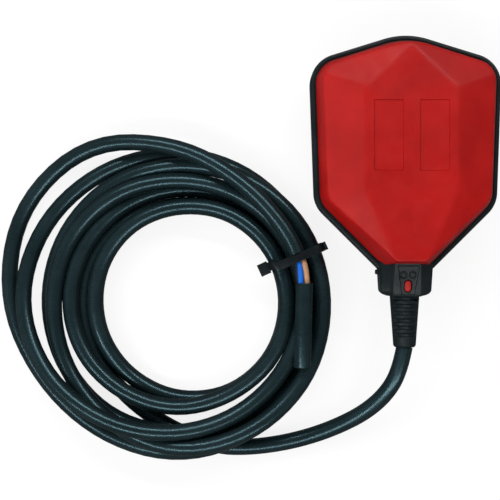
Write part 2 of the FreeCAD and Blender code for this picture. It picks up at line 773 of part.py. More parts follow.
def far_core_routes():
    """The routes of the three cores from the cut jacket, under the tie, to the end of the jacket slug."""
    routes = {}
    seat = coil_layers * cable_diameter
    axis_z = seat + slug_diameter / 2
    across = Vector(math.cos(math.radians(tie_angle)), math.sin(math.radians(tie_angle)), 0)
    for index, (name, angle) in enumerate((("black", 210), ("blue", 90), ("brown", 330))):
        side = core_circle * math.cos(math.radians(angle))
        z = axis_z + core_circle * math.sin(math.radians(angle))
        start = coil_point(tail_start_angle + 1, (tail_inner_radius + tail_outer_radius) / 2 + side, z)
        under = Vector(tie_x, tie_y, seat + core_diameter / 2 + core_lift)
        under += across * ((index - 1) * core_spread + core_shift)
        if name == "blue":
            under.z += core_stack
        enter = Vector(slug_x + side, slug_top_y + 1.0, z)
        stop = Vector(slug_x + side, slug_top_y - slug_length + 1.0, z)
        routes[name] = [tuple(start), tuple(under), tuple(enter), tuple(stop)]
    return routes


def far_conductors():
    """The copper strands inside the three cores at the stripped end."""
    coil = cable_coil()
    return [bent_rod(conductor_diameter, route, core_bend).cut(coil) for route in far_core_routes().values()]


def far_core(name):
    """The insulation of one core at the stripped end."""
    core = bent_rod(core_diameter, far_core_routes()[name], core_bend)
    return core.cut(far_conductors() + [cable_coil()])


def jacket_slug():
    """The cut length of jacket that is pulled along the cores and left on their ends."""
    z = coil_layers * cable_diameter + slug_diameter / 2
    slug = rod(slug_diameter, (slug_x, slug_top_y, z), (slug_x, slug_top_y - slug_length, z))
    bore = slug_diameter - 1.5
    return slug.cut(rod(bore, (slug_x, slug_top_y + 1, z), (slug_x, slug_top_y - slug_length - 1, z)))


nodes = {
    "upper_shell": upper_shell(),
    "lower_shell": lower_shell(),
    "seal_collar": seal_collar(),
    "cable_boot": cable_boot(),
    "cable_grommet": cable_grommet(),
    "cable_root": cable_root(),
    "cord_clamp": cord_clamp(),
    "clamp_screws": clamp_screws(),
    "ball_cage": ball_cage(),
    "cage_lid": cage_lid(),
    "steel_ball": steel_ball(),
    "switch_case": switch_case(),
    "switch_cover": switch_cover(),
    "lever_pin": lever_pin(),
    "switch_lever": switch_lever(),
    "switch_plunger": switch_plunger(),
    "terminal_common": terminal(-1),
    "terminal_nc": terminal(0),
    "terminal_no": terminal(1),
    "tail_blue": core_tail("blue"),
    "tail_brown": core_tail("brown"),
    "tail_black": core_tail("black"),
    "cable_lead": cable_lead(),
    "cable_coil": cable_coil(),
    "cable_tie": cable_tie(),
    "jacket_slug": jacket_slug(),
    "core_black": far_core("black"),
    "core_blue": far_core("blue"),
    "core_brown": far_core("brown"),
    "conductors": Part.makeCompound(far_conductors()),
}

print("ball joint", ball_travel, "lever lean", round(rest_lean, 4), round(free_lean, 4),
      "plunger travel", round(plunger_travel, 3), "hinge", hinge_x, hinge_y, mid_z)
os.makedirs("parts", exist_ok=True)
for name, shape in nodes.items():
    shape.exportStep(f"parts/{name}.step")
    print(name, shape.isValid(), len(shape.Solids), round(shape.Volume, 1))
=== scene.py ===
import json
import math

import bmesh
import bpy
from mathutils import Matrix, Vector

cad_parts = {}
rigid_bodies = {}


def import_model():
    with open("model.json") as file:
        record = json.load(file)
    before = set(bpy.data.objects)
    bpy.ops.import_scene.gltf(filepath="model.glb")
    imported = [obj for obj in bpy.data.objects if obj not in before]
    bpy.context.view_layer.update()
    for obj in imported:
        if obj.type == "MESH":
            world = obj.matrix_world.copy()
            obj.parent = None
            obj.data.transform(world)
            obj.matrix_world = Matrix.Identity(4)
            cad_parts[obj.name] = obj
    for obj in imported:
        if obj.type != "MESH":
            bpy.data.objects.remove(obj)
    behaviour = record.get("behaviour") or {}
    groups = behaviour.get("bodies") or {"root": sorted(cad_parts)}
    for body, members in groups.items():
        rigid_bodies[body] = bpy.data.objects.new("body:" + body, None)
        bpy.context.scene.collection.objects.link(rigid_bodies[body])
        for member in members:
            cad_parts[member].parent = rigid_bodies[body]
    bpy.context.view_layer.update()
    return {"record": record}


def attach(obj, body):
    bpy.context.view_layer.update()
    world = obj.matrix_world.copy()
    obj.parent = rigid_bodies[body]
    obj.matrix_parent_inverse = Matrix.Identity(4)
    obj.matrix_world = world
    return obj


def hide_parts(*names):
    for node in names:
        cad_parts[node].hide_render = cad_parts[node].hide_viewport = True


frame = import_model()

# Camera, found from the lean of the seam band and the width of the float
camera_place = Vector((-0.0665, -0.0249, 0.45675))
camera_lens = 72.9
camera_sensor = 36.0
camera_nearest = 0.01

# Cable
cable_diameter = 0.0072
boot_end = Vector((0.0, -0.06665, 0.02075))
lead_route = [
    (-0.0019, -0.0770, 0.0200),
    (-0.0072, -0.0873, 0.0170),
    (-0.0157, -0.0959, 0.0124),
    (-0.0269, -0.1026, 0.0083),
    (-0.0396, -0.1079, 0.0054),
    (-0.0535, -0.1115, 0.0039),
    (-0.0678, -0.1132, 0.0036),
    (-0.0820, -0.1128, 0.0036),
    (-0.1044, -0.1036, 0.0036),
]
coil_middle = Vector((-0.0985, -0.0471, 0.0072))
cut_angle = 21.7
cut_radius = 0.0562
cut_height = 0.018

# The coil's turns, read clockwise: distances from its middle and heights, in millimetres
turn_step = 30
first_angle = 240
turns = [
    ([46.8, 43.1, 41.8, 41.8, 41.1, 41.8, 44.4, 46.9, 48.0],
     [3.6, 3.6, 3.6, 3.6, 3.6, 3.6, 3.6, 3.6, 3.6]),
    ([48.4, 46.9, 43.3, 39.5, 37.3, 36.4, 37.3, 39.1, 41.1, 44.4, 46.7, 48.6],
     [3.6, 3.6, 3.6, 5.0, 7.9, 8.4, 9.3, 10.5, 10.8, 10.8, 10.8, 10.8]),
    ([48.8, 47.2, 47.5, 47.0, 47.6, 47.7, 47.5, 48.1, 49.0, 51.5, 54.0, 55.1],
     [10.8, 10.8, 10.8, 11.4, 10.8, 8.9, 8.9, 6.8, 3.9, 3.6, 3.6, 3.6]),
    ([55.6, 60.5, 58.8, 59.1, 57.5, 56.8, 57.3, 58.6, 59.5, 61.2, 63.4, 64.3],
     [3.6, 4.6, 12.4, 5.2, 3.6, 3.6, 3.6, 6.3, 9.1, 10.4, 10.8, 10.8]),
    ([65.9, 66.2, 66.1, 61.3, 57.1, 54.8, 54.8, 54.0, 52.6, 53.7, 54.8, 55.8],
     [12.0, 18.0, 18.4, 13.4, 10.8, 10.4, 10.4, 11.7, 11.2, 10.8, 10.8, 10.8]),
    ([55.8, 56.6, 58.6, 62.2, 66.6, 69.1, 67.3, 65.3, 64.2, 62.8, 61.7, 62.3],
     [11.4, 14.0, 21.2, 21.8, 15.4, 8.7, 3.9, 3.6, 3.6, 3.6, 3.6, 3.6]),
    ([62.9, 66.2, 67.6, 66.6, 68.0, 74.2, 79.3, 78.6, 67.3, 58.2, 55.8],
     [4.5, 11.2, 11.0, 4.5, 3.6, 3.6, 3.6, 7.5, 15.4, 18.6, 18.0]),
]


def coil_point(angle, radius, height):
    """A point of the coil by its angle, its distance from the middle and its height."""
    turn = math.radians(angle)
    x = coil_middle.x + radius * math.cos(turn)
    y = coil_middle.y + radius * math.sin(turn)
    return Vector((x, y, height))


def seen_from_camera(point):
    """The point moved along the sight line, because the turns were measured at one height."""
    share = (camera_place.z - point.z) / (camera_place.z - coil_middle.z)
    x = camera_place.x + (point.x - camera_place.x) * share
    y = camera_place.y + (point.y - camera_place.y) * share
    return Vector((x, y, point.z))


def cable_route():
    """Every point of the cable from the boot, round the coil, to the cut end."""
    route = [boot_end] + [Vector(place) for place in lead_route]
    outward = 1 / math.cos(math.radians(turn_step / 2))
    angle = first_angle
    for radii, heights in turns:
        for radius, height in zip(radii, heights):
            point = coil_point(angle % 360, radius * outward / 1000, height / 1000)
            route.append(seen_from_camera(point))
            angle -= turn_step
    route.append(coil_point(cut_angle, cut_radius, cut_height))
    return route


def cord_curve(name, routes, diameter, length_steps=6, round_steps=7):
    """Smooth round cords as one piece, with each route's points as control points."""
    curve = bpy.data.curves.new(name, "CURVE")
    curve.dimensions = "3D"
    for points in routes:
        spline = curve.splines.new("NURBS")
        spline.points.add(len(points) - 1)
        for knot, place in zip(spline.points, points):
            knot.co = (*place, 1.0)
        spline.order_u = 3
        spline.use_endpoint_u = True
        spline.resolution_u = length_steps
    curve.bevel_depth = diameter / 2
    curve.bevel_resolution = round_steps
    curve.use_fill_caps = True
    piece = bpy.data.objects.new(name, curve)
    bpy.context.collection.objects.link(piece)
    return piece


def add_camera():
    """The camera straight above, with the photograph's frame."""
    lens = bpy.data.cameras.new("camera")
    lens.lens = camera_lens
    lens.sensor_width = camera_sensor
    lens.clip_start = camera_nearest
    camera = bpy.data.objects.new("camera", lens)
    camera.location = camera_place
    bpy.context.collection.objects.link(camera)
    bpy.context.scene.camera = camera


def add_lamp(name, place, aim, size, power):
    """A soft rectangular lamp that faces a point."""
    lamp = bpy.data.lights.new(name, "AREA")
    lamp.shape = "RECTANGLE"
    lamp.size = size[0]
    lamp.size_y = size[1]
    lamp.energy = power
    stand = bpy.data.objects.new(name, lamp)
    stand.location = place
    stand.rotation_euler = (Vector(aim) - Vector(place)).to_track_quat("-Z", "Y").to_euler()
    bpy.context.collection.objects.link(stand)
    return stand


# Noise values between which one colour, or one measure, changes over to the other
colour_change = (0.35, 0.65)
measure_change = (0.3, 0.7)
patch_scale = 60


def node_material(name):
    """An empty material with its shader, as nodes and links."""
    material = bpy.data.materials.new(name)
    material.use_nodes = True
    tree = material.node_tree
    shader = tree.nodes["Principled BSDF"]
    return material, tree, shader


def noise_at(tree, scale, detail=3.0, stretch=(1, 1, 1)):
    """A noise in the piece's own coordinates."""
    place = tree.nodes.new("ShaderNodeTexCoord")
    mapping = tree.nodes.new("ShaderNodeMapping")
    mapping.inputs["Scale"].default_value = stretch
    noise = tree.nodes.new("ShaderNodeTexNoise")
    noise.inputs["Scale"].default_value = scale
    noise.inputs["Detail"].default_value = detail
    tree.links.new(place.outputs["Object"], mapping.inputs["Vector"])
    tree.links.new(mapping.outputs["Vector"], noise.inputs["Vector"])
    return noise.outputs["Fac"]


def blend_colours(tree, factor, low, high):
    """Two colours mixed by a noise."""
    ramp = tree.nodes.new("ShaderNodeValToRGB")
    ramp.color_ramp.elements[0].position = colour_change[0]
    ramp.color_ramp.elements[0].color = (*low, 1)
    ramp.color_ramp.elements[1].position = colour_change[1]
    ramp.color_ramp.elements[1].color = (*high, 1)
    tree.links.new(factor, ramp.inputs["Fac"])
    return ramp.outputs["Color"]


def between(tree, factor, low, high):
    """A number that follows a noise between two limits."""
    span = tree.nodes.new("ShaderNodeMapRange")
    span.inputs["From Min"].default_value = measure_change[0]
    span.inputs["From Max"].default_value = measure_change[1]
    span.inputs["To Min"].default_value = low
    span.inputs["To Max"].default_value = high
    tree.links.new(factor, span.inputs["Value"])
    return span.outputs["Result"]


def add_bump(tree, shader, height, depth, strength):
    """Fine relief on the surface."""
    bump = tree.nodes.new("ShaderNodeBump")
    bump.inputs["Distance"].default_value = depth
    bump.inputs["Strength"].default_value = strength
    tree.links.new(height, bump.inputs["Height"])
    tree.links.new(bump.outputs["Normal"], shader.inputs["Normal"])


def plastic(name, low, high, roughness, specular, grain=900, relief=0.00005):
    """A moulded plastic or rubber with patches of colour and a fine grain."""
    material, tree, shader = node_material(name)
    colour = blend_colours(tree, noise_at(tree, patch_scale), low, high)
    tree.links.new(colour, shader.inputs["Base Color"])
    shine = between(tree, noise_at(tree, patch_scale * 3), *roughness)
    tree.links.new(shine, shader.inputs["Roughness"])
    shader.inputs["Specular IOR Level"].default_value = specular
    add_bump(tree, shader, noise_at(tree, grain, detail=2.0), depth=relief, strength=0.5)
    return material


def metal(name, low, high, roughness, stretch=(1, 1, 1)):
    """A bare metal with fine drawn or rolled marks."""
    material, tree, shader = node_material(name)
    marks = noise_at(tree, scale=700, detail=4.0, stretch=stretch)
    colour = blend_colours(tree, noise_at(tree, scale=120), low, high)
    tree.links.new(colour, shader.inputs["Base Color"])
    tree.links.new(between(tree, marks, *roughness), shader.inputs["Roughness"])
    shader.inputs["Metallic"].default_value = 1.0
    add_bump(tree, shader, marks, depth=0.00002, strength=0.3)
    return material


def jacket_material():
    """The cable's smooth dark jacket, satin, with faint scuffs."""
    material, tree, shader = node_material("jacket")
    patches = noise_at(tree, scale=45, detail=4.0)
    colour = blend_colours(tree, patches, low=(0.004, 0.009, 0.0105), high=(0.008, 0.0155, 0.018))
    tree.links.new(colour, shader.inputs["Base Color"])
    shine = between(tree, noise_at(tree, scale=160), low=0.24, high=0.3)
    tree.links.new(shine, shader.inputs["Roughness"])
    shader.inputs["Specular IOR Level"].default_value = 0.5
    shader.inputs["Specular Tint"].default_value = (0.5, 0.88, 1.0, 1)
    add_bump(tree, shader, noise_at(tree, scale=300, detail=2.0), depth=0.000004, strength=0.1)
    return material


finishes = {
    "shell_red": plastic("shell_red", (0.29, 0.003, 0.0025),
                         (0.35, 0.005, 0.004), (0.4, 0.5), 0.2, 1500, 0.00006),
    "seal_black": plastic("seal_black", (0.005, 0.009, 0.010),
                          (0.010, 0.015, 0.017), (0.34, 0.46), 0.16),
    "grommet_rubber": plastic("grommet_rubber", (0.01, 0.01, 0.01),
                              (0.02, 0.02, 0.02), (0.6, 0.8), 0.3),
    "jacket": jacket_material(),
    "inner_plastic": plastic("inner_plastic", (0.62, 0.61, 0.56),
                             (0.7, 0.69, 0.64), (0.45, 0.6), 0.4),
    "switch_plastic": plastic("switch_plastic", (0.02, 0.02, 0.022),
                              (0.035, 0.035, 0.04), (0.4, 0.55), 0.4),
    "plunger_plastic": plastic("plunger_plastic", (0.45, 0.04, 0.03),
                               (0.52, 0.06, 0.04), (0.35, 0.5), 0.4),
    "ball_steel": metal("ball_steel", (0.62, 0.62, 0.63), (0.7, 0.7, 0.71), (0.08, 0.16)),
    "lever_steel": metal("lever_steel", (0.52, 0.52, 0.53), (0.6, 0.6, 0.61), (0.25, 0.4), (1, 0.1, 1)),
    "screw_steel": metal("screw_steel", (0.5, 0.5, 0.52), (0.58, 0.58, 0.6), (0.25, 0.4)),
    "terminal_brass": metal("terminal_brass", (0.68, 0.52, 0.24), (0.76, 0.6, 0.3),
                            (0.25, 0.38), (0.1, 1, 1)),
    "copper": metal("copper", (0.66, 0.33, 0.2), (0.74, 0.42, 0.27), (0.25, 0.4)),
    "core_black": plastic("core_black", (0.012, 0.012, 0.013),
                          (0.02, 0.02, 0.021), (0.3, 0.42), 0.5),
    "core_blue": plastic("core_blue", (0.0, 0.09, 0.45), (0.005, 0.12, 0.55), (0.3, 0.42), 0.3),
    "core_brown": plastic("core_brown", (0.36, 0.19, 0.10), (0.44, 0.24, 0.13), (0.3, 0.42), 0.3),
    "tie_nylon": plastic("tie_nylon", (0.003, 0.005, 0.006),
                         (0.007, 0.010, 0.012), (0.32, 0.45), 0.15),
}


def give_finish(piece, slot):
    """Puts one finish on a whole piece."""
    if piece.material_slots:
        for place in piece.material_slots:
            place.material = finishes[slot]
    else:
        piece.data.materials.append(finishes[slot])


# Edges that are rounded off on a hard piece, by the angle between their faces, in degrees
hard_edges = (30.0, 100.0)
flat_edge = 0.5
same_place = 0.00001


def softened(node, width):
    """A copy of a hard piece with its edges rounded off, in place of the node."""
    source = bpy.data.objects[node]
    shape = bmesh.new()
    shape.from_mesh(source.data)
    bmesh.ops.remove_doubles(shape, verts=shape.verts, dist=same_place)
    bmesh.ops.dissolve_limit(shape, angle_limit=math.radians(flat_edge),
                             verts=shape.verts, edges=shape.edges)
    edges = []
    for edge in shape.edges:
        if len(edge.link_faces) == 2:
            if hard_edges[0] < math.degrees(edge.calc_face_angle()) < hard_edges[1]:
                edges.append(edge)
    bmesh.ops.bevel(shape, geom=edges, offset=width, offset_type="OFFSET", segments=3, profile=0.5,
                    affect="EDGES", clamp_overlap=True, material=-1)
    mesh = bpy.data.meshes.new(node + "_soft")
    shape.to_mesh(mesh)
    shape.free()
    piece = bpy.data.objects.new(node + "_soft", mesh)
    bpy.context.collection.objects.link(piece)
    mesh.shade_smooth()
    mesh.set_sharp_from_angle(angle=math.radians(40))
    return piece


# Float shells, in millimetres: the circles that the outline runs round, and the facets of the top
mid_z = 20.75
float_top = 41.5
outline_circles = [
    (0.0, 34.65, 32.0),
    (-27.75, 45.95, 13.0),
    (-26.1, -0.1, 13.0),
    (-3.6, -23.95, 12.0),
    (3.6, -23.95, 12.0),
    (26.1, -0.1, 13.0),
    (27.75, 45.95, 13.0),
]
arc_steps = 24
side_steps = 12
outline_middle = (0.0, 16.0)
band_depth = 2.4
band_top = 25.25
plateau_side = 18.9
crown_tip = 58.55
crown_run = (18.9, 16.1)
foot_point = (7.5, -25.95)
foot_run = (11.4, 24.9)
side_slope = 0.406
crown_slope = 0.432
foot_slope = 0.388
valley_half = 15.6
valley_depth = 0.55
wall_rise = 4.78
wall_softness = 0.75
wall_rings = 30
wall_ring_step = 0.21
top_rings = 60
neck_wall = -31.4
neck_lean = 0.5
edge_softness = 6.0
label_sides = (3.3, 15.6)
label_ends = (7.65, 36.95)
label_ramp = 0.25
label_depth = 0.4
label_slack = 0.01
seam_gap = 0.02
shell_thickness = 1.8
shell_sharp = 42
near = 0.0001


def smooth_lowest(heights, softness):
    """The lowest of several heights, with a soft turn where two of them meet."""
    lowest = min(heights)
    total = sum(math.exp(softness * (lowest - height)) for height in heights)
    return lowest - math.log(total) / softness


def top_height(x, y):
    """Height of the faceted top over a place in the float's plan."""
    dip = valley_depth * max(0.0, 1 - math.hypot(x, 0.6) / valley_half)
    heights = [float_top - dip]
    crown = math.hypot(*crown_run)
    foot = math.hypot(*foot_run)
    for side in (-1, 1):
        heights.append(float_top - side_slope * (side * x - plateau_side))
        climb = side * x * crown_run[1] + (y - crown_tip) * crown_run[0]
        heights.append(float_top - crown_slope * climb / crown)
        climb = (side * x - foot_point[0]) * foot_run[1] - (y - foot_point[1]) * foot_run[0]
        heights.append(float_top - foot_slope * climb / foot)
    return smooth_lowest(heights, edge_softness)


def outline_ring(inset):
    """Places all round the float's outline, moved inwards: arcs and the straight sides between them."""
    count = len(outline_circles)
    normals = []
    for index in range(count):
        xa, ya, ra = outline_circles[index]
        xb, yb, rb = outline_circles[(index + 1) % count]
        spread = math.acos((ra - rb) / math.dist((xa, ya), (xb, yb)))
        normals.append(math.atan2(yb - ya, xb - xa) - spread)
    places = []
    for index, (x, y, r) in enumerate(outline_circles):
        arriving = normals[index - 1]
        turn = (normals[index] - arriving) % (2 * math.pi)
        for step in range(arc_steps + 1):
            angle = arriving + turn * step / arc_steps
            places.append((x + (r - inset) * math.cos(angle), y + (r - inset) * math.sin(angle)))
        xa, ya = places[-1]
        x, y, r = outline_circles[(index + 1) % count]
        xb = x + (r - inset) * math.cos(angle)
        yb = y + (r - inset) * math.sin(angle)
        for step in range(1, side_steps):
            places.append((xa + (xb - xa) * step / side_steps, ya + (yb - ya) * step / side_steps))
    return places


def shell_ring(inset):
    """Places round the red shell's outline, which ends straight at the neck."""
    lowest = neck_wall + neck_lean * (inset - band_depth)
    return [(x, max(y, lowest)) for x, y in outline_ring(inset)]


def skin_from_rings(rings):
    """A skin through rings of places, each ring with the same count."""
    shape = bmesh.new()
    count = len(rings[0])
    made = bmesh.ops.create_circle(shape, cap_ends=False, segments=count, radius=1.0)
    order = {}
    for vert in made["verts"]:
        order[vert] = round(math.atan2(vert.co.y, vert.co.x) * count / (2 * math.pi)) % count
    for number, ring in enumerate(rings):
        if number:
            edges = [e for e in shape.edges if e.verts[0] in order and e.verts[1] in order]
            grown = bmesh.ops.extrude_edge_only(shape, edges=edges)["geom"]
            before = order
            order = {}
            for vert in grown:
                if isinstance(vert, bmesh.types.BMVert):
                    joined = [e.other_vert(vert) for e in vert.link_edges]
                    partner = [v for v in joined if v in before][0]
                    order[vert] = before[partner]
        for vert, index in order.items():
            vert.co = ring[index]
    return shape


def open_ends(shape):
    """The edges that have a face on one side only."""
    return [e for e in shape.edges if len(e.link_faces) == 1]


def round_off(shape, edges, width):
    """Rounds edges off."""
    bmesh.ops.bevel(shape, geom=edges, offset=width, segments=3, profile=0.5, affect="EDGES", material=-1)


def shell_skin(labelled):
    """One half shell: a soft faceted skin made ring by ring from the band inwards."""
    rings = []
    for z in (mid_z + seam_gap, band_top):
        rings.append([(x, y, z) for x, y in shell_ring(band_depth)])
    for step in range(1, wall_rings + 1):
        inset = band_depth + step * wall_ring_step
        wall_height = band_top + (inset - band_depth) * wall_rise
        edge = shell_ring(inset)
        ring = []
        for x, y in edge:
            ring.append((x, y, smooth_lowest([top_height(x, y), wall_height], wall_softness)))
        rings.append(ring)
    for step in range(1, top_rings):
        share = 1 - step / top_rings
        ring = []
        for x, y in edge:
            x = outline_middle[0] + (x - outline_middle[0]) * share
            y = outline_middle[1] + (y - outline_middle[1]) * share
            ring.append((x, y, top_height(x, y)))
        rings.append(ring)
    shape = skin_from_rings(rings)
    inmost = [e for e in open_ends(shape) if e.verts[0].co.z > band_top]
    cap = bmesh.ops.contextual_create(shape, geom=inmost)["faces"]
    bmesh.ops.poke(shape, faces=cap)
    if labelled:
        cut_labels(shape)
    bmesh.ops.recalc_face_normals(shape, faces=shape.faces)
    if max(shape.faces, key=lambda f: f.calc_center_median().z).normal.z < 0:
        bmesh.ops.reverse_faces(shape, faces=shape.faces)
    return shape


def cut_through(shape, place, across):
    """New edges where a plane cuts the shape."""
    geom = shape.verts[:] + shape.edges[:] + shape.faces[:]
    bmesh.ops.bisect_plane(shape, geom=geom, dist=near, plane_co=place, plane_no=across)


def recess_lines(span):
    """Where a recess starts, has its full depth, starts to rise and ends."""
    return (span[0], span[0] + label_ramp, span[1] - label_ramp, span[1])


def in_recess(value, span):
    """Whether a place lies where the recess has its full depth."""
    return span[0] + label_ramp - label_slack < value < span[1] - label_ramp + label_slack


def cut_labels(shape):
    """The two bare label recesses on the flat top."""
    for side in (-1, 1):
        for x in recess_lines(label_sides):
            cut_through(shape, (side * x, 0, 0), (1, 0, 0))
    for y in recess_lines(label_ends):
        cut_through(shape, (0, y, 0), (0, 1, 0))
    for vert in shape.verts:
        if in_recess(abs(vert.co.x), label_sides) and in_recess(vert.co.y, label_ends):
            vert.co.z -= label_depth


def add_lug(shape):
    """The red lug that shows through the collar's window."""
    made = bmesh.ops.create_circle(shape, cap_ends=True, segments=32, radius=window_half[0] - lug_gap)
    verts = made["verts"]
    straight = window_half[1] - window_half[0]
    for vert in verts:
        shift = straight if vert.co.y > 0 else -straight
        vert.co = (vert.co.x + panel_x, vert.co.y + shift + window_y, lug_foot)
    faces = [f for f in shape.faces if all(v in verts for v in f.verts)]
    grown = bmesh.ops.extrude_face_region(shape, geom=faces)["geom"]
    top = [v for v in grown if isinstance(v, bmesh.types.BMVert)]
    for vert in top:
        vert.co.z = mid_z + collar_rise(vert.co.y) - panel_depth - lug_drop
    edges = [e for e in shape.edges if e.verts[0] in top and e.verts[1] in top]
    round_off(shape, edges, lug_round)


# Boot, in millimetres
boot_start = -44.65
boot_stop = -66.65
boot_radii = (6.35, 4.85)
boot_grooves = (-45.7, -48.75, -51.85, -54.95, -58.05, -61.15)
boot_groove_half = 0.95
boot_groove_depth = 1.0
boot_rail_angles = (48, 74)
boot_bore = 3.6
boot_tip = ((0.0, 1.0), (0.25, 0.4), (0.8, 0.0))
boot_cuts = 110
boot_steps = 72
boot_skin = 4.7
groove_power = 0.7
round_sharp = 50

# Seal, in millimetres
band_section = [
    (2.35, -4.0), (1.9, -4.0), (1.7, -4.4), (0.9, -4.5), (0.35, -4.3), (0.05, -3.8), (0.0, -3.0),
    (0.0, 3.0), (0.05, 3.8), (0.35, 4.3), (0.9, 4.5), (1.7, 4.4), (1.9, 4.0), (2.35, 4.0),
]
collar_root = -29.4
collar_stop = -44.65
collar_corner = -41.9
collar_half_widths = (11.7, 10.7)
collar_heights = (11.45, 7.4)
collar_flats = (5.3, 5.95)
collar_flank = 4.6
panel_top = -31.6
panel_halves = (4.55, 2.55)
panel_depth = 0.45
window_y = -40.2
window_half = (1.6, 2.6)
window_depth = 1.6
panel_x = 0.35
ring_places = ((-1.7, -35.4), (2.2, -35.4))
ring_radius = 1.3
ring_depth = 0.3
nub = ((-12.6, -10.5), (-35.4, -33.3), (19.0, 23.5))
nub_round = 0.5
panel_side_ramp = 0.15
panel_top_ramp = 0.3
panel_stop_ramp = (0.6, 0.9)
ring_ramp = (0.1, 0.4)
window_ramp = 0.12
lug_gap = 0.15
lug_foot = 24.4
lug_drop = 0.45
lug_round = 0.35
collar_end_drop = 0.5
collar_end_flank = 1.0
collar_edge = ((0.35, 0.25), (0.8, 0.7))
collar_slope = (1.1, 1.5)
collar_slope_parts = (0.25, 0.5, 0.75)
collar_side = ((0.45, 1.0), (0.1, 0.2), (0.0, -1.0))
collar_flat_steps = 50
collar_second = -30.5
collar_fine_start = -31.1
collar_fine_step = 0.17
collar_end_gap = 0.01
seal_sharp = 38


def collar_rise(y):
    """Height of the collar's top face above the middle."""
    share = (collar_root - y) / (collar_root - collar_stop)
    return collar_heights[0] + share * (collar_heights[1] - collar_heights[0])


def step_between(value, low, high):
    """A soft step from 0 to 1."""
    share = min(1.0, max(0.0, (value - low) / (high - low)))
    return share * share * (3 - 2 * share)


def panel_sink(x, y):
    """How far the collar's top is pressed in by its panel, its two rings and its window."""
    share = (panel_top - y) / (panel_top - collar_stop)
    half = panel_halves[0] + share * (panel_halves[1] - panel_halves[0])
    inside = step_between(half - abs(x - panel_x), -panel_side_ramp, panel_side_ramp)
    inside *= step_between(panel_top - y, -panel_top_ramp, panel_top_ramp)
    inside *= step_between(y - collar_stop, *panel_stop_ramp)
    sink = panel_depth * inside
    for place in ring_places:
        away = abs(math.dist((x, y), place) - ring_radius)
        sink += ring_depth * (1 - step_between(away, *ring_ramp))
    straight = window_half[1] - window_half[0]
    away = math.hypot(x - panel_x, max(0.0, abs(y - window_y) - straight))
    rim = step_between(away, window_half[0] - window_ramp, window_half[0] + window_ramp)
    return sink + window_depth * (1 - rim)


def collar_ring(y):
    """One section of the collar, from the middle of its top round to the start again."""
    share = (collar_root - y) / (collar_root - collar_stop)
    width = collar_half_widths[0] + share * (collar_half_widths[1] - collar_half_widths[0])
    rise = collar_rise(y)
    flat = collar_flats[0] + share * (collar_flats[1] - collar_flats[0])
    flank = collar_flank
    past = (collar_corner - y) / (collar_corner - collar_stop)
    if past > 0:
        keep = math.sqrt(max(0.0, 1 - past ** 2))
        width = boot_radii[0] + (width - boot_radii[0]) * keep
        rise = rise - collar_end_drop * (1 - keep)
        flat = flat - collar_end_drop * (1 - keep)
        flank = collar_end_flank + (flank - collar_end_flank) * keep
    corners = [(flat + x, rise - z) for x, z in collar_edge]
    from_x, from_z = corners[-1]
    for part in collar_slope_parts:
        x = from_x + part * (width - collar_slope[0] - flat)
        z = from_z + part * (flank + collar_slope[1] - rise)
        corners.append((x, z))
    corners += [(width - x, flank + z) for x, z in collar_side]
    steps = collar_flat_steps
    half = [(flat * step / steps, rise) for step in range(steps + 1)] + corners
    ring = []
    for side, up in ((1, 1), (1, -1), (-1, -1), (-1, 1)):
        quarter = half if side * up > 0 else half[::-1]
        for x, z in quarter:
            if up > 0:
                z -= panel_sink(side * x, y)
            ring.append((side * x, y, mid_z + up * z))
    return ring


def add_seal():
    """The black band round the seam and the collar on the neck, as one piece."""
    rings = []
    for inset, z in band_section + band_section[:1]:
        rings.append([(x, y, mid_z + z) for x, y in outline_ring(inset)])
    shape = skin_from_rings(rings)
    bmesh.ops.remove_doubles(shape, verts=shape.verts, dist=near)
    stations = [collar_root, collar_second]
    y = collar_fine_start
    while y > collar_stop + 2 * collar_end_gap:
        stations.append(y)
        y -= collar_fine_step
    stations.append(collar_stop + collar_end_gap)
    collar = skin_from_rings([collar_ring(y) for y in stations])
    bmesh.ops.remove_doubles(collar, verts=collar.verts, dist=near)
    bmesh.ops.holes_fill(collar, edges=open_ends(collar), sides=0)
    made = bmesh.ops.create_cube(collar, size=1.0)["verts"]
    for vert in made:
        place = [span[1] if vert.co[axis] > 0 else span[0] for axis, span in enumerate(nub)]
        vert.co = place
    edges = [e for e in collar.edges if e.verts[0] in made and e.verts[1] in made]
    round_off(collar, edges, nub_round)
    add_shape(shape, collar)
    bmesh.ops.recalc_face_normals(shape, faces=shape.faces)
    piece = in_metres(shape, "neck_seal")
    piece.data.set_sharp_from_angle(angle=math.radians(seal_sharp))
    dress(piece, "seal_black", "seal_collar")


def add_shape(shape, other):
    """Adds a second shape to a first."""
    mesh = bpy.data.meshes.new("passing")
    other.to_mesh(mesh)
    other.free()
    shape.from_mesh(mesh)
    bpy.data.meshes.remove(mesh)


def in_metres(shape, name):
    """A new piece from a shape in millimetres."""
    bmesh.ops.scale(shape, vec=(0.001, 0.001, 0.001), verts=shape.verts)
    mesh = bpy.data.meshes.new(name)
    shape.to_mesh(mesh)
    shape.free()
    mesh.shade_smooth()
    piece = bpy.data.objects.new(name, mesh)
    bpy.context.collection.objects.link(piece)
    return piece


def add_shells():
    """The two red half shells."""
    for name, node, upper in (("red_top", "upper_shell", True), ("red_bottom", "lower_shell", False)):
        shape = shell_skin(upper)
        if not upper:
            for vert in shape.verts:
                vert.co.z = 2 * mid_z - vert.co.z
            bmesh.ops.reverse_faces(shape, faces=shape.faces)
        bmesh.ops.solidify(shape, geom=shape.faces[:], thickness=shell_thickness)
        if upper:
            add_lug(shape)
        piece = in_metres(shape, name)
        piece.data.set_sharp_from_angle(angle=math.radians(shell_sharp))
        dress(piece, "shell_red", node)


def dress(piece, slot, *nodes):
    """Gives a piece its finish and puts it in place of CAD nodes."""
    give_finish(piece, slot)
    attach(piece, "housing")
    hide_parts(*nodes)


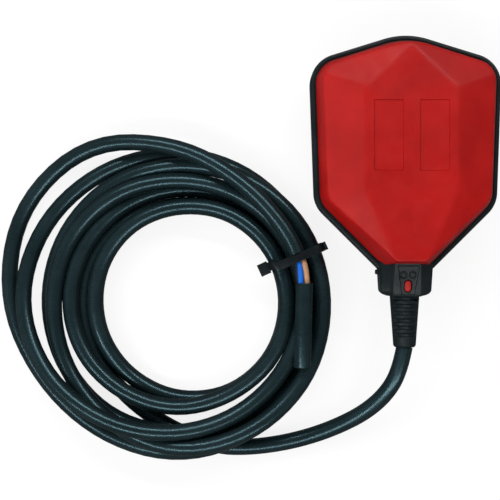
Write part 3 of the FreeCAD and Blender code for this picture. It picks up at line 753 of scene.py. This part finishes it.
def groove_at(y, lean):
    """Depth of the boot's grooves at a place along it and round it."""
    share = 0.0
    for middle in boot_grooves:
        away = abs(y - middle) / boot_groove_half
        if away < 1:
            share = max(share, (1 - away ** 2) ** groove_power)
    full, none = boot_rail_angles
    return boot_groove_depth * share * step_between(none - lean, 0, none - full)


def turned(profile, steps, cuts=0):
    """A round shape about the Y axis from a closed profile, whose second side can be cut up."""
    shape = bmesh.new()
    verts = [shape.verts.new((x, y, 0)) for x, y in profile]
    edges = []
    for number, vert in enumerate(verts):
        edges.append(shape.edges.new((vert, verts[(number + 1) % len(verts)])))
    if cuts:
        bmesh.ops.subdivide_edges(shape, edges=[edges[1]], cuts=cuts)
    bmesh.ops.spin(shape, geom=shape.verts[:] + shape.edges[:], cent=(0, 0, 0), axis=(0, 1, 0),
                   angle=2 * math.pi, steps=steps, use_merge=True)
    bmesh.ops.remove_doubles(shape, verts=shape.verts, dist=0.001)
    return shape


def add_boot():
    """The tapered boot: smooth side rails with grooves between them above and below."""
    profile = [(boot_bore, boot_start), (boot_radii[0], boot_start)]
    profile += [(boot_radii[1] - x, boot_stop + y) for x, y in boot_tip]
    profile.append((boot_bore, boot_stop))
    shape = turned(profile, boot_steps, boot_cuts)
    for vert in shape.verts:
        radius = math.hypot(vert.co.x, vert.co.z)
        if radius > boot_skin:
            lean = math.degrees(math.atan2(abs(vert.co.x), abs(vert.co.z)))
            part = 1 - groove_at(vert.co.y, lean) / radius
            vert.co.x *= part
            vert.co.z *= part
        vert.co.z += mid_z
    bmesh.ops.recalc_face_normals(shape, faces=shape.faces)
    piece = in_metres(shape, "ribbed_boot")
    piece.data.set_sharp_from_angle(angle=math.radians(round_sharp))
    dress(piece, "seal_black", "cable_boot")


# Sleeve of cut jacket, in millimetres
sleeve_top = -39.2
sleeve_bottom = -75.8
sleeve_radii = (3.05, 3.8)
sleeve_steps = 48
sleeve_round = 0.25
sleeve_x = -42.9
sleeve_lean = 0.8
sleeve_z = 18.2


def add_sleeve():
    """The cut length of jacket on the ends of the cores, with rounded rims."""
    inner, outer = sleeve_radii
    profile = [(inner, sleeve_top), (outer, sleeve_top), (outer, sleeve_bottom), (inner, sleeve_bottom)]
    shape = turned(profile, sleeve_steps)
    bmesh.ops.recalc_face_normals(shape, faces=shape.faces)
    rims = [e for e in shape.edges if e.calc_face_angle() > 1.0]
    round_off(shape, rims, sleeve_round)
    for vert in shape.verts:
        along = (vert.co.y - sleeve_top) / (sleeve_bottom - sleeve_top)
        vert.co.x += sleeve_x - sleeve_lean * along
        vert.co.z += sleeve_z
    piece = in_metres(shape, "jacket_sleeve")
    piece.data.set_sharp_from_angle(angle=math.radians(round_sharp))
    dress(piece, "jacket", "jacket_slug")
    return piece


# The tie, in metres: turned a little, with its head pulled round
tie_round = 0.0004
tie_middle = Vector((-0.0459, -0.0286, 0.0))
tie_heading = 29.3
tie_turn = -4.5
tie_neck = (-0.0072, -0.0115)
tie_head_shift = Vector((-0.0009, 0.0016, 0.0))


def settle_tie(piece):
    """Turns the tie's copy and bends its head end."""
    turn = Matrix.Rotation(math.radians(tie_turn), 3, "Z")
    heading = math.radians(tie_heading)
    along = Vector((math.cos(heading), math.sin(heading), 0.0))
    for vert in piece.data.vertices:
        away = vert.co - tie_middle
        share = step_between(-away.dot(along), -tie_neck[0], -tie_neck[1])
        vert.co = tie_middle + turn @ away + tie_head_shift * share


# Cores between the cable's cut end and the sleeve, in metres
core_diameter = 0.0025
conductor_diameter = 0.0014
copper_showing = 0.0008
core_routes = {
    "black": [(-0.0480, -0.0235, 0.0170), (-0.0468, -0.0270, 0.0160), (-0.0462, -0.0320, 0.0160),
              (-0.0449, -0.0385, 0.0168), (-0.0447, -0.0480, 0.0168), (-0.0452, -0.0735, 0.0168)],
    "blue": [(-0.0474, -0.0222, 0.0192), (-0.0462, -0.0262, 0.0181), (-0.0449, -0.0310, 0.0181),
             (-0.0444, -0.0385, 0.0194), (-0.0444, -0.0480, 0.0194), (-0.0449, -0.0735, 0.0194)],
    "brown": [(-0.0458, -0.0235, 0.0178), (-0.0443, -0.0275, 0.0179), (-0.0426, -0.0315, 0.0184),
              (-0.0418, -0.0385, 0.0186), (-0.0417, -0.0480, 0.0186), (-0.0422, -0.0735, 0.0186)],
}


def add_cores():
    """The three cores between the cut end and the sleeve, with their copper."""
    pieces = []
    wires = []
    for colour, route in core_routes.items():
        core = cord_curve("core_" + colour + "_run", [route], core_diameter)
        dress(core, "core_" + colour, "core_" + colour)
        pieces.append(core)
        wires.append(route[:-1] + [Vector(route[-1]) + Vector((0, -copper_showing, 0))])
    copper = cord_curve("copper_runs", wires, conductor_diameter, length_steps=12, round_steps=4)
    dress(copper, "copper", "conductors")
    pieces.append(copper)
    return pieces


bpy.context.scene.view_settings.view_transform = "Standard"
add_camera()

cable = cord_curve("cable", [cable_route()], cable_diameter)
give_finish(cable, "jacket")
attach(cable, "housing")
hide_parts("cable_lead", "cable_coil")

for part in frame["record"]["subparts"]:
    if part["node"] not in ("cable_lead", "cable_coil"):
        give_finish(bpy.data.objects[part["node"]], part["material_slot"])

add_shells()
add_boot()
add_seal()
tie = softened("cable_tie", tie_round)
settle_tie(tie)
dress(tie, "tie_nylon", "cable_tie")
sleeve = add_sleeve()
cores = add_cores()


# Floor and surround: how bright they are to the camera, to shiny surfaces and to the rest
floor_size = 3.0
floor_colour = (0.85, 0.85, 0.85, 1)
floor_roughness = 0.9
floor_glow_share = 0.85
floor_reflected = (0.12, 0.12, 0.12, 1)
sky_levels = (0.2, 0.9)
sky_reflected = (0.2, 0.12)
sky_fill = 0.12


def pale_floor():
    """The floor: white to the camera, and it keeps the object's shadow."""
    shape = bmesh.new()
    bmesh.ops.create_grid(shape, x_segments=1, y_segments=1, size=floor_size)
    mesh = bpy.data.meshes.new("floor")
    shape.to_mesh(mesh)
    shape.free()
    floor = bpy.data.objects.new("floor", mesh)
    bpy.context.collection.objects.link(floor)
    material, tree, shader = node_material("floor")
    shader.inputs["Base Color"].default_value = floor_colour
    shader.inputs["Roughness"].default_value = floor_roughness
    shader.inputs["Specular IOR Level"].default_value = 0.0
    glow = tree.nodes.new("ShaderNodeEmission")
    glow.inputs["Strength"].default_value = 1.0
    rays = tree.nodes.new("ShaderNodeLightPath")
    part = tree.nodes.new("ShaderNodeMath")
    part.operation = "MULTIPLY"
    part.inputs[1].default_value = floor_glow_share
    tree.links.new(rays.outputs["Is Camera Ray"], part.inputs[0])
    mix = tree.nodes.new("ShaderNodeMixShader")
    tree.links.new(part.outputs[0], mix.inputs["Fac"])
    tree.links.new(shader.outputs["BSDF"], mix.inputs[1])
    tree.links.new(glow.outputs["Emission"], mix.inputs[2])
    dull = tree.nodes.new("ShaderNodeEmission")
    dull.inputs["Color"].default_value = floor_reflected
    reflected = tree.nodes.new("ShaderNodeMixShader")
    tree.links.new(rays.outputs["Is Glossy Ray"], reflected.inputs["Fac"])
    tree.links.new(mix.outputs["Shader"], reflected.inputs[1])
    tree.links.new(dull.outputs["Emission"], reflected.inputs[2])
    tree.links.new(reflected.outputs["Shader"], tree.nodes["Material Output"].inputs["Surface"])
    mesh.materials.append(material)


def pale_world():
    """A surround that is white to the camera, dim to shiny surfaces and a soft fill for the rest."""
    world = bpy.data.worlds.new("surround")
    bpy.context.scene.world = world
    world.use_nodes = True
    tree = world.node_tree
    background = tree.nodes["Background"]
    background.inputs["Color"].default_value = (1, 1, 1, 1)
    rays = tree.nodes.new("ShaderNodeLightPath")
    white = tree.nodes.new("ShaderNodeMix")
    white.inputs["B"].default_value = 1.0
    tree.links.new(rays.outputs["Is Camera Ray"], white.inputs["Factor"])
    heading = tree.nodes.new("ShaderNodeTexCoord")
    split = tree.nodes.new("ShaderNodeSeparateXYZ")
    tree.links.new(heading.outputs["Generated"], split.inputs["Vector"])
    sky = tree.nodes.new("ShaderNodeMapRange")
    sky.inputs["From Min"].default_value = sky_levels[0]
    sky.inputs["From Max"].default_value = sky_levels[1]
    sky.inputs["To Min"].default_value = sky_reflected[0]
    sky.inputs["To Max"].default_value = sky_reflected[1]
    tree.links.new(split.outputs["Z"], sky.inputs["Value"])
    strength = tree.nodes.new("ShaderNodeMix")
    strength.inputs["A"].default_value = sky_fill
    tree.links.new(rays.outputs["Is Glossy Ray"], strength.inputs["Factor"])
    tree.links.new(sky.outputs["Result"], strength.inputs["B"])
    tree.links.new(strength.outputs["Result"], white.inputs["A"])
    tree.links.new(white.outputs["Result"], background.inputs["Strength"])


pale_floor()
pale_world()
lamp_target = (-0.07, -0.02, 0.0)
add_lamp("strip_top", place=(0.1, 0.75, 0.9), aim=lamp_target, size=(1.5, 0.1), power=11.0)
add_lamp("strip_bottom", place=(-0.2, -0.62, 0.9), aim=lamp_target, size=(1.5, 0.1), power=8.5)
key = add_lamp("key_left", place=(-1.05, 0.05, 0.75), aim=lamp_target, size=(0.8, 0.8), power=9.0)
key.visible_glossy = False
